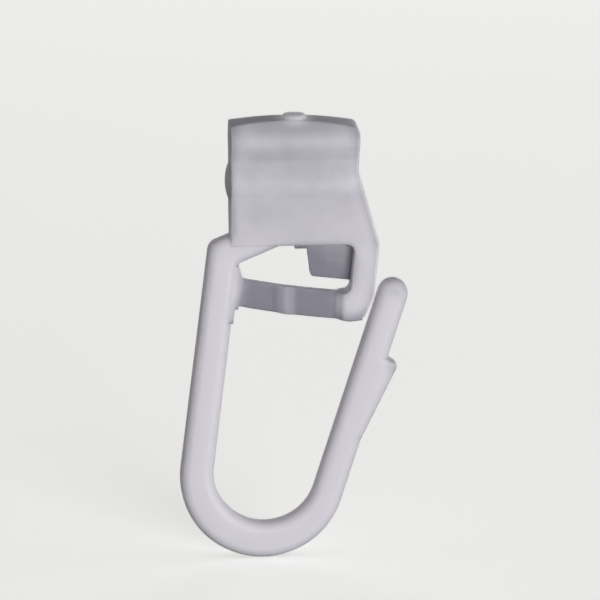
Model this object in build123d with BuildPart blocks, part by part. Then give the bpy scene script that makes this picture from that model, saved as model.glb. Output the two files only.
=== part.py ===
"""Curtain track glider, moulded in one piece of natural white plastic.

A waisted head slides in the slot of a curtain track. Its neck widens on one side into an arm,
which a thin bar closes to a small eye. From the other side hangs an open hook: a round-cornered
strand that goes down, around a wide bend and up again to a rounded tip, with a ledge outside it.

Millimetres. X runs along the track, Y across its slot with the front at -Y, and Z up.
The origin is the middle of the waist, which is the part that stands in the slot.
Points in pairs are X and Z in the front view. A lean is an angle from the vertical toward +X.
"""
from build123d import *
from math import cos, radians, sin, tan
import os

os.makedirs("parts", exist_ok=True)

# Head: corners of its section, as half depths at their heights, and the radii that round them
slot_width = 4.0
slot_clearance = 0.1
lip_height = 0.6
waist_half = slot_width / 2 - slot_clearance
waist_radius = 0.7
crown_flank_lean = 40.0
upper_lobe_half, upper_lobe_height, upper_lobe_radius = 2.45, 2.0, 1.6
lower_lobe_half, lower_lobe_height, lower_lobe_radius = 2.4, -1.8, 2.5
eye_top_half, eye_top = 1.25, -7.08
neck_radius = 4.0
leg_half = 1.2

# Head: ends and top in the front view
half_length = 5.3
crown_place, crown_height = -0.8, 3.46
left_drop, right_drop = 0.41, 0.66
top_corner_radius = 0.65
head_edge_radius = 0.2
lobe_end_inset = 0.4
lobe_end_axes = (0.78, 2.2, 1.9)
gate_height = 0.3
gate_foot_radius, gate_top_radius = 1.25, 0.85

# Arm and right leg of the eye
arm_inset, arm_start_height, arm_start_radius = 0.12, -0.8, 1.4
arm_reach, arm_corner_height, arm_corner_radius = 1.67, -7.05, 0.9
leg_width = 2.0
leg_lean = 5.5
foot_start, foot_height = -11.4, -13.45
foot_lean = 23.0
foot_corner_radius = 0.8
eye_corner_radius = 0.65

# Thin bar of the eye: a shallow arc, blending into the leg's foot, with a low rib on its front
bar_left, bar_middle, bar_right_height = (-5.6, -9.76), (0.0, -10.76), -11.26
bar_height = 2.3
bar_half = 0.4
bar_blend = 1.2
bar_corner_radius = 0.6
rib_place, rib_width, rib_rise = -0.72, 2.2, 0.3

# Web behind the right half of the eye
web_near, web_far = 0.15, 1.05
web_corner = (1.38, -9.95)
web_lean, web_foot_fall = 7.1, 6.8
web_corner_radius = 0.35
web_shoulder_width, web_shoulder_height = 1.0, 0.55

# Strand of the hook
strand_half = 1.2
strand_edge_radius = 0.8
outer_bend, outer_radius = (-2.62, -26.79), 6.81
inner_bend, inner_radius = (-2.43, -26.42), 4.26
left_lean, free_lean = 7.1, 18.1
shoulder_corner, shoulder_fall = (-7.05, -6.97), 23.0
shoulder_radius = 1.0
eye_vertex, eye_vertex_radius = (-4.6, -8.65), 0.35
tip_centre, tip_radius = (8.14, -11.45), 1.22

# Ledge outside the free leg, and the long ramp below it
ledge_nose, ledge_nose_radius = (8.6, -17.45), 0.4
ledge_fall = 30.0
ramp_foot_height = -23.6

# Pad beside the left leg, where the bar starts, and the small step below it
pad_half, pad_depth = 1.05, 0.8
pad_top, pad_shoulder, pad_foot = (-4.62, -8.7), (-4.24, -9.9), (-4.68, -12.4)
step_width, step_height = 0.25, 1.2


def along(start, lean, length):
    """Point at a length from start, upward on a line with this lean."""
    return (start[0] + length * sin(radians(lean)), start[1] + length * cos(radians(lean)))


def on_circle(centre, radius, angle):
    """Point on a circle, at an angle from +X toward +Z."""
    return (centre[0] + radius * cos(radians(angle)), centre[1] + radius * sin(radians(angle)))


# Head, neck, arm and right leg: one wavy section drawn along the track, cut to the front outline
stock_top = crown_height + 0.5
stock_foot = foot_height - 0.5
flank_top_half = upper_lobe_half - (stock_top - upper_lobe_height) * tan(radians(crown_flank_lean))
arm_start = (half_length - arm_inset, arm_start_height)
arm_corner = (half_length + arm_reach, arm_corner_height)
foot_outer = along(arm_corner, leg_lean, (foot_start - arm_corner[1]) / cos(radians(leg_lean)))
foot_end = along(foot_outer, foot_lean, (foot_height - foot_start) / cos(radians(foot_lean)))
eye_corner = (arm_corner[0] - leg_width, eye_top)
leg_inner_end = along(eye_corner, leg_lean, (foot_height - eye_top) / cos(radians(leg_lean)))
left_top = (-half_length, crown_height - left_drop)
right_top = (half_length, crown_height - right_drop)
rounded_corners = [
    (right_top, top_corner_radius),
    (arm_start, arm_start_radius),
    (eye_corner, eye_corner_radius),
    (arm_corner, arm_corner_radius),
    (foot_end, foot_corner_radius),
]


def is_rim(edge):
    """Whether an edge runs along an end, the arm or the top of the head, and is to be rounded."""
    at = edge.center()
    on_outline = abs(at.X) > half_length - top_corner_radius or at.Z > crown_height - left_drop
    return on_outline and abs(at.Y) > leg_half - head_edge_radius


with BuildPart() as head:
    with BuildSketch(Plane.YZ.offset(-half_length - 1)):
        with BuildLine():
            wave = FilletPolyline(
                (flank_top_half, stock_top),
                (upper_lobe_half, upper_lobe_height),
                (waist_half, lip_height / 2),
                (waist_half, -lip_height / 2),
                (lower_lobe_half, lower_lobe_height),
                (eye_top_half, eye_top),
                (leg_half, foot_height),
                radius=[upper_lobe_radius, waist_radius, waist_radius, lower_lobe_radius, neck_radius],
            )
            Line((0, stock_top), wave @ 0)
            Polyline(wave @ 1, (leg_half, stock_foot), (0, stock_foot))
            mirror(about=Plane.YZ)
        make_face()
    extrude(amount=half_length + arm_corner[0] + 2)
    with BuildSketch(Plane.XZ) as front:
        with BuildLine():
            Line((-half_length, eye_top), left_top)
            ThreePointArc(left_top, (crown_place, crown_height), right_top)
            Polyline(
                right_top,
                (half_length, upper_lobe_height),
                arm_start,
                arm_corner,
                foot_outer,
                foot_end,
                leg_inner_end,
                eye_corner,
                (-half_length, eye_top),
            )
        make_face()
        for point, radius in rounded_corners:
            fillet(front.vertices().sort_by_distance(point)[0], radius)
    extrude(amount=lower_lobe_half + 1, both=True, mode=Mode.INTERSECT)
    fillet(head.edges().filter_by(Axis.X, reverse=True).filter_by(is_rim), head_edge_radius)

# Rounded end of the head's lower lobe
with BuildPart() as lobe_end:
    Sphere(1)
    scale(by=lobe_end_axes)

# Strand of the hook: bent over into the neck, down the left leg, around the bend, up to the tip
outer_left = on_circle(outer_bend, outer_radius, 180 - left_lean)
outer_right = on_circle(outer_bend, outer_radius, -free_lean)
inner_left = on_circle(inner_bend, inner_radius, 180 - left_lean)
inner_right = on_circle(inner_bend, inner_radius, -free_lean)
tip_outer = on_circle(tip_centre, tip_radius, -free_lean)
tip_inner = on_circle(tip_centre, tip_radius, 180 - free_lean)
root_over = along(shoulder_corner, 90 - shoulder_fall, half_length)
root_under = along(eye_vertex, 90 - shoulder_fall, half_length)

with BuildPart() as hook:
    with BuildSketch(Plane.XZ) as strand:
        with BuildLine():
            Polyline(root_over, shoulder_corner, outer_left)
            ThreePointArc(outer_left, on_circle(outer_bend, outer_radius, -90), outer_right)
            Line(outer_right, tip_outer)
            ThreePointArc(tip_outer, on_circle(tip_centre, tip_radius, 90 - free_lean), tip_inner)
            Line(tip_inner, inner_right)
            ThreePointArc(inner_right, on_circle(inner_bend, inner_radius, -90), inner_left)
            Polyline(inner_left, eye_vertex, root_under, root_over)
        make_face()
        fillet(strand.vertices().sort_by_distance(shoulder_corner)[0], shoulder_radius)
        fillet(strand.vertices().sort_by_distance(eye_vertex)[0], eye_vertex_radius)
    extrude(amount=strand_half, both=True)
    fillet(hook.edges().filter_by(Plane.XZ), strand_edge_radius)

# Ledge and ramp: a wedge on the free leg, which reaches the middle of the strand inside
strand_width = outer_radius - inner_radius
ramp_foot = along(outer_right, free_lean, (ramp_foot_height - outer_right[1]) / cos(radians(free_lean)))
ramp_middle = ((ledge_nose[0] + ramp_foot[0]) / 2, 0, (ledge_nose[1] + ramp_foot[1]) / 2)
ledge_inner = along(ledge_nose, ledge_fall - 90, strand_width)

with BuildPart() as ledge:
    with BuildSketch(Plane.XZ):
        with BuildLine():
            Polyline(
                ledge_nose,
                ledge_inner,
                along(ramp_foot, free_lean - 90, strand_width / 2),
                ramp_foot,
                close=True,
            )
        make_face()
    extrude(amount=strand_half, both=True)
    fillet(ledge.edges().filter_by(Plane.XZ).sort_by_distance(ramp_middle)[:2], strand_edge_radius)
    fillet(ledge.edges().filter_by(Axis.Y).sort_by(Axis.X)[-1], ledge_nose_radius)

# Bar of the eye: its arched front outline, cut to the plan with the rib and the blend
bar_corner = along(eye_corner, leg_lean, (bar_right_height - eye_top) / cos(radians(leg_lean)))
bar_corner_top = along(bar_corner, leg_lean, 2 * bar_corner_radius)
bar_foot = (bar_corner[0] + leg_width / 2, foot_height)
blend_start = leg_inner_end[0] - bar_blend

with BuildPart() as bar:
    with BuildSketch(Plane.XZ) as bar_face:
        with BuildLine():
            ThreePointArc(bar_left, bar_middle, bar_corner)
            lower = ThreePointArc(*[(x, z - bar_height) for x, z in (bar_left, bar_middle, bar_corner)])
            Line(bar_left, lower @ 0)
            Polyline(bar_corner, bar_corner_top, (bar_foot[0], bar_corner_top[1]), bar_foot, lower @ 1)
        make_face()
        fillet(bar_face.vertices().sort_by_distance(bar_corner)[0], bar_corner_radius)
    extrude(amount=leg_half, both=True)
    with BuildSketch(Plane.XY.offset(bar_left[1])):
        with BuildLine():
            Polyline(
                (blend_start, bar_half),
                (bar_left[0], bar_half),
                (bar_left[0], -bar_half),
                (rib_place - rib_width / 2, -bar_half),
            )
            Spline(
                (rib_place - rib_width / 2, -bar_half),
                (rib_place, -bar_half - rib_rise),
                (rib_place + rib_width / 2, -bar_half),
                tangents=[(1, 0), (1, 0), (1, 0)],
            )
            Line((rib_place + rib_width / 2, -bar_half), (blend_start, -bar_half))
            for side in (-1, 1):
                Spline(
                    (blend_start, side * bar_half),
                    (leg_inner_end[0], side * leg_half),
                    tangents=[(1, 0), (1, 0)],
                )
            Polyline(
                (leg_inner_end[0], -leg_half),
                (bar_foot[0], -leg_half),
                (bar_foot[0], leg_half),
                (leg_inner_end[0], leg_half),
            )
        make_face()
    extrude(amount=stock_foot - bar_left[1], mode=Mode.INTERSECT)

# Web: hangs from a low shoulder under the neck, its foot parallel to the bar
web_run = eye_corner[0] + eye_corner_radius / 2 - web_corner[0]
web_end = (web_corner[0] + web_run, web_corner[1] - web_run * tan(radians(web_foot_fall)))
shoulder_height = eye_top - web_shoulder_height
web_top = eye_top + web_shoulder_height
web_shoulder = along(web_corner, -web_lean, (shoulder_height - web_corner[1]) / cos(radians(web_lean)))

with BuildPart() as web:
    with BuildSketch(Plane.XZ.offset(-web_near)) as web_face:
        with BuildLine():
            Polyline(
                (web_shoulder[0] - web_shoulder_width, web_top),
                (web_shoulder[0] - web_shoulder_width, shoulder_height),
                web_shoulder,
                web_corner,
                web_end,
                (web_end[0], web_top),
                close=True,
            )
        make_face()
        fillet(web_face.vertices().sort_by_distance(web_corner)[0], web_corner_radius)
    extrude(amount=web_near - web_far)

# Pad and step beside the left leg, reaching into the strand
step_top = (pad_foot[0] - step_width, pad_foot[1])
step_foot = along(step_top, left_lean, -step_height)

with BuildPart() as pad:
    with BuildSketch(Plane.XZ):
        with BuildLine():
            Polyline(
                (pad_top[0] - pad_depth, pad_top[1]),
                pad_top,
                pad_shoulder,
                pad_foot,
                step_top,
                step_foot,
                (step_foot[0] - pad_depth, step_foot[1]),
                close=True,
            )
        make_face()
    extrude(amount=pad_half, both=True)

with BuildPart() as glider:
    add(head.part)
    with Locations((lobe_end_inset - half_length, 0, lower_lobe_height)):
        add(lobe_end.part)
    add(hook.part)
    add(ledge.part)
    add(bar.part)
    add(web.part)
    add(pad.part)
    # Low stub on the crown, left where the plastic entered the mould
    with Locations((0, 0, crown_height - gate_height)):
        Cone(gate_foot_radius, gate_top_radius, 2 * gate_height, align=(Align.CENTER, Align.CENTER, Align.MIN))

glider.part.label = "glider"
export_step(glider.part, "parts/glider.step")
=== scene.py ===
"""Curtain track glider in natural white plastic, upright as it hangs from its track.

Metres, in the CAD frame: X along the track, -Y the front, Z up, the origin in the head's waist.
"""
from math import cos, radians, sin

import bmesh
import bpy
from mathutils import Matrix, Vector


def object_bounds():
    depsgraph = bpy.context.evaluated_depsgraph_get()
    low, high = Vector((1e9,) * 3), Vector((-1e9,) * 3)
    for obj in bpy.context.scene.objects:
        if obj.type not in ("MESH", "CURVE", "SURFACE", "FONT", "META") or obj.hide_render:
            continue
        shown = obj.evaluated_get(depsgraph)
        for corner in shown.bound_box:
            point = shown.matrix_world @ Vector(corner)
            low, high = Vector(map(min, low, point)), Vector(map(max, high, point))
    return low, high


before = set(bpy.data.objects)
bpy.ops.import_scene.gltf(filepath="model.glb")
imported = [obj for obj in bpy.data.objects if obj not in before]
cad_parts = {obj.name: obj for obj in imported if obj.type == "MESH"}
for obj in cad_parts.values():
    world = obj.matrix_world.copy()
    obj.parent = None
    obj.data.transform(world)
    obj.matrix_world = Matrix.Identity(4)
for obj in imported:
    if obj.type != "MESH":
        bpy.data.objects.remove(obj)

cad_box = [list(corner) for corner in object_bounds()]
MM = 0.001

# Camera: a long lens, a little above the glider and to its left. The photograph shows it about
# 49 mm high and wide, with the head's waist up and left of the middle.
AZIMUTH = radians(-4.5)
ELEVATION = radians(13.5)
LENS = 500
VIEW_WIDTH = 49.18 * MM
waist_in_view = Vector((-0.5, 11.6)) * MM

camera_back = Vector(
    (sin(AZIMUTH) * cos(ELEVATION), -cos(AZIMUTH) * cos(ELEVATION), sin(ELEVATION))
)
camera_right = Vector((cos(AZIMUTH), sin(AZIMUTH), 0))
camera_up = camera_back.cross(camera_right)
camera_data = bpy.data.cameras.new("camera")
camera_data.lens = LENS
camera_data.clip_start = 0.01
view_distance = VIEW_WIDTH * LENS / camera_data.sensor_width
view_centre = -waist_in_view.x * camera_right - waist_in_view.y * camera_up
camera = bpy.data.objects.new("camera", camera_data)
camera.location = view_centre + view_distance * camera_back
camera.rotation_euler = camera_back.to_track_quat("Z", "Y").to_euler()
bpy.context.scene.collection.objects.link(camera)
bpy.context.scene.camera = camera
bpy.context.scene.view_settings.view_transform = "Standard"


# Glider: one piece of natural polyamide, injection moulded. Unpigmented, it is milky white. Painted
# shade makes the thin bar and web and the edges greyer, and the head darker around the gate, and a
# painted lighter patch sits on the gate stub. The mould's fine satin finish breaks up the gloss,
# and its halves leave a thin raised line around the outline.
def linear(hex_colour):
    """Linear RGBA for an sRGB colour such as "C8C6CD"."""
    channels = [int(hex_colour[i : i + 2], 16) / 255 for i in (0, 2, 4)]
    return [c / 12.92 if c <= 0.04045 else ((c + 0.055) / 1.055) ** 2.4 for c in channels] + [1]


def add_node(material, kind, inputs, **settings):
    """Adds a node. Each input is a value, or the socket that feeds it."""
    tree = material.node_tree
    node = tree.nodes.new(kind)
    for name, value in settings.items():
        setattr(node, name, value)
    for name, value in inputs.items():
        if isinstance(value, bpy.types.NodeSocket):
            tree.links.new(value, node.inputs[name])
        else:
            node.inputs[name].default_value = value
    return node


MILKY = "D6D3DB"
# Painted shade on the head, darkest around the gate
HEAD_SHADE = "B7B5BD"
# Painted light on the gate stub
PAINTED_GATE_LIGHT = "E6E5E9"
# Painted shade in thin walls and at edges, a little lighter on the rib
THIN_WALL_SHADE = "7F7F8B"
RIB_WALL_SHADE = "9A99A4"
GATE = (0.0, 0.0, 3.6 * MM)
GATE_LIGHT_SIZE, GATE_LIGHT_EDGE = 0.8 * MM, 2.1 * MM
HEAD_SHADE_REACH = 17.0 * MM
CLOUD_SIZE = 2.2 * MM
CLOUD_SPREAD = 8.0 * MM
RIB_PLACE = -0.72 * MM
RIB_TOP, RIB_FOOT = 0.5 * MM, 1.0 * MM
PROBE_DEPTH = 1.6 * MM
THIN_SHARE, THICK_SHARE = 0.33, 0.74
CORNER_RADIUS = 0.15 * MM
PROBE_RAYS = 8
GRAIN_SIZE = 0.16 * MM
GRAIN_HEIGHT = 0.004 * MM
PARTING_HALF_WIDTH = 0.07 * MM
PARTING_HEIGHT = 0.03 * MM
SCATTER_DEPTH = 2.2 * MM

polyamide = bpy.data.materials.new("natural_polyamide_moulded")
polyamide.use_nodes = True
polyamide.node_tree.nodes.clear()
place = add_node(polyamide, "ShaderNodeTexCoord", {}).outputs["Object"]
axes = add_node(polyamide, "ShaderNodeSeparateXYZ", {"Vector": place})
# Painted shade: the head is darker around the gate on the crown and lighter farther away.
# Melt that cooled at different speeds breaks this up into faint clouds of tone. Their noise is a
# half on average, so half their spread is taken off again.
from_gate = add_node(
    polyamide, "ShaderNodeVectorMath", {0: place, 1: GATE}, operation="DISTANCE"
)
clouds = add_node(
    polyamide, "ShaderNodeTexNoise", {"Vector": place, "Scale": 1 / CLOUD_SIZE, "Detail": 3}
)
reach = add_node(
    polyamide,
    "ShaderNodeMath",
    {0: clouds.outputs["Fac"], 1: CLOUD_SPREAD, 2: from_gate.outputs["Value"]},
    operation="MULTIPLY_ADD",
)
out_of_head_shade = add_node(
    polyamide,
    "ShaderNodeMapRange",
    {"Value": reach.outputs[0], "From Min": CLOUD_SPREAD / 2, "From Max": HEAD_SHADE_REACH},
    interpolation_type="SMOOTHSTEP",
)
skin_with_head_shade = add_node(
    polyamide,
    "ShaderNodeMix",
    {0: out_of_head_shade.outputs[0], 6: linear(HEAD_SHADE), 7: linear(MILKY)},
    data_type="RGBA",
)
# Painted light: the gate stub on the crown is painted lighter
off_gate_light = add_node(
    polyamide,
    "ShaderNodeMapRange",
    {"Value": from_gate.outputs["Value"], "From Min": GATE_LIGHT_SIZE, "From Max": GATE_LIGHT_EDGE},
    interpolation_type="SMOOTHSTEP",
)
skin_with_gate_light = add_node(
    polyamide,
    "ShaderNodeMix",
    {0: off_gate_light.outputs[0], 6: linear(PAINTED_GATE_LIGHT), 7: skin_with_head_shade.outputs[2]},
    data_type="RGBA",
)
# Painted shade: thin walls are painted greyer, a little less so around the rib of the bar
from_rib = add_node(
    polyamide, "ShaderNodeMath", {0: axes.outputs["X"], 1: RIB_PLACE}, operation="SUBTRACT"
)
off_rib = add_node(polyamide, "ShaderNodeMath", {0: from_rib.outputs[0]}, operation="ABSOLUTE")
beside_rib = add_node(
    polyamide,
    "ShaderNodeMapRange",
    {"Value": off_rib.outputs[0], "From Min": RIB_TOP, "From Max": RIB_FOOT},
    interpolation_type="SMOOTHSTEP",
)
thin_wall_shade = add_node(
    polyamide,
    "ShaderNodeMix",
    {0: beside_rib.outputs[0], 6: linear(RIB_WALL_SHADE), 7: linear(THIN_WALL_SHADE)},
    data_type="RGBA",
)
# Rays sent into the wall find how thick it is: the share that stays inside is small in a thin wall
# and near an edge, so both get the painted shade
inside = add_node(
    polyamide,
    "ShaderNodeAmbientOcclusion",
    {"Distance": PROBE_DEPTH},
    inside=True,
    only_local=True,
    samples=PROBE_RAYS,
)
thickness = add_node(
    polyamide,
    "ShaderNodeMapRange",
    {"Value": inside.outputs["AO"], "From Min": THIN_SHARE, "From Max": THICK_SHARE},
)
shaded_walls = add_node(
    polyamide,
    "ShaderNodeMix",
    {0: thickness.outputs[0], 6: thin_wall_shade.outputs[2], 7: skin_with_gate_light.outputs[2]},
    data_type="RGBA",
)
# Moulded corners are never quite sharp
softened = add_node(polyamide, "ShaderNodeBevel", {"Radius": CORNER_RADIUS}, samples=PROBE_RAYS)
# The real satin finish is finer than this grain, which is just coarse enough to show
grain = add_node(
    polyamide, "ShaderNodeTexNoise", {"Vector": place, "Scale": 1 / GRAIN_SIZE, "Detail": 2}
)
satin = add_node(
    polyamide,
    "ShaderNodeBump",
    {"Height": grain.outputs["Fac"], "Distance": GRAIN_HEIGHT, "Normal": softened.outputs[0]},
)
# Parting line: a low ridge on the surfaces that cross the mould's middle plane
off_plane = add_node(polyamide, "ShaderNodeMath", {0: axes.outputs["Y"]}, operation="ABSOLUTE")
ridge = add_node(
    polyamide,
    "ShaderNodeMapRange",
    {
        "Value": off_plane.outputs[0],
        "From Max": PARTING_HALF_WIDTH,
        "To Min": 1.0,
        "To Max": 0.0,
    },
    interpolation_type="SMOOTHSTEP",
)
parting = add_node(
    polyamide,
    "ShaderNodeBump",
    {"Height": ridge.outputs[0], "Distance": PARTING_HEIGHT, "Normal": satin.outputs[0]},
)
plastic = add_node(
    polyamide,
    "ShaderNodeBsdfPrincipled",
    {
        "Base Color": shaded_walls.outputs[2],
        "Roughness": 0.6,
        "IOR": 1.53,
        "Subsurface Weight": 1.0,
        "Subsurface Radius": (1.0, 0.95, 0.9),
        "Subsurface Scale": SCATTER_DEPTH,
        "Normal": parting.outputs[0],
    },
)
add_node(polyamide, "ShaderNodeOutputMaterial", {"Surface": plastic.outputs[0]})

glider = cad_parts["glider"]
glider.data.materials.clear()
glider.data.materials.append(polyamide)

# Floor: a wide sheet of pale matt card, just under the bend of the hook. To the camera it is whiter
# and glows a little, so that it is pale and still keeps the glider's shadow. To the glider it is a
# grey card, because the photograph has black below.
FLOOR_COLOUR = "F4F4F2"
FLOOR_GREY = "90908E"
GLOW_COLOUR = "FFFFFD"
GLOW_LEVEL = 0.48
FLOOR_SIZE = 6.0
FLOOR_GAP = 0.02 * MM

card = bpy.data.materials.new("matt_card")
card.use_nodes = True
card.node_tree.nodes.clear()
seen = add_node(card, "ShaderNodeLightPath", {}).outputs["Is Camera Ray"]
paleness = add_node(
    card,
    "ShaderNodeMix",
    {0: seen, 6: linear(FLOOR_GREY), 7: linear(FLOOR_COLOUR)},
    data_type="RGBA",
)
matt = add_node(card, "ShaderNodeBsdfDiffuse", {"Color": paleness.outputs[2]})
strength = add_node(card, "ShaderNodeMath", {0: seen, 1: GLOW_LEVEL}, operation="MULTIPLY")
glow = add_node(
    card, "ShaderNodeEmission", {"Color": linear(GLOW_COLOUR), "Strength": strength.outputs[0]}
)
both = add_node(card, "ShaderNodeAddShader", {0: matt.outputs[0], 1: glow.outputs[0]})
add_node(card, "ShaderNodeOutputMaterial", {"Surface": both.outputs[0]})

floor_mesh = bpy.data.meshes.new("floor")
sheet = bmesh.new()
bmesh.ops.create_grid(sheet, x_segments=1, y_segments=1, size=FLOOR_SIZE / 2)
bmesh.ops.translate(sheet, verts=sheet.verts, vec=(0, 0, cad_box[0][2] - FLOOR_GAP))
sheet.to_mesh(floor_mesh)
sheet.free()
floor_mesh.materials.append(card)
floor = bpy.data.objects.new("floor", floor_mesh)
bpy.context.scene.collection.objects.link(floor)


# Studio light: a low wide soft lamp in front, to the right of the camera and under it, two weaker
# ones behind, and an even room. Low light keeps the glider's upper faces as dark as the photograph
# shows them, and so do rear lamps that leave no shine.
LAMP_DISTANCE = 0.8
LAMP_WIDTH, LAMP_HEIGHT = 0.4, 0.1


def add_soft_lamp(name, azimuth, elevation, watts, shines=True):
    """A wide soft box at that place round the glider, turned to the middle of the glider."""
    azimuth, elevation = radians(azimuth), radians(elevation)
    back = Vector((sin(azimuth) * cos(elevation), -cos(azimuth) * cos(elevation), sin(elevation)))
    lamp = bpy.data.lights.new(name, "AREA")
    lamp.shape = "RECTANGLE"
    lamp.size = LAMP_WIDTH
    lamp.size_y = LAMP_HEIGHT
    lamp.energy = watts
    holder = bpy.data.objects.new(name, lamp)
    holder.location = view_centre + LAMP_DISTANCE * back
    holder.rotation_euler = back.to_track_quat("Z", "Y").to_euler()
    holder.visible_glossy = shines
    bpy.context.scene.collection.objects.link(holder)


add_soft_lamp("front_lamp", azimuth=18, elevation=5, watts=5.4)
add_soft_lamp("right_rear_lamp", azimuth=150, elevation=3, watts=3.2, shines=False)
add_soft_lamp("left_rear_lamp", azimuth=-160, elevation=3, watts=2.6, shines=False)

ROOM_LEVEL = 0.2
room = bpy.data.worlds.new("studio_room")
room.use_nodes = True
room_light = room.node_tree.nodes["Background"].inputs
room_light["Color"].default_value = linear("FFFFFF")
room_light["Strength"].default_value = ROOM_LEVEL
bpy.context.scene.world = room
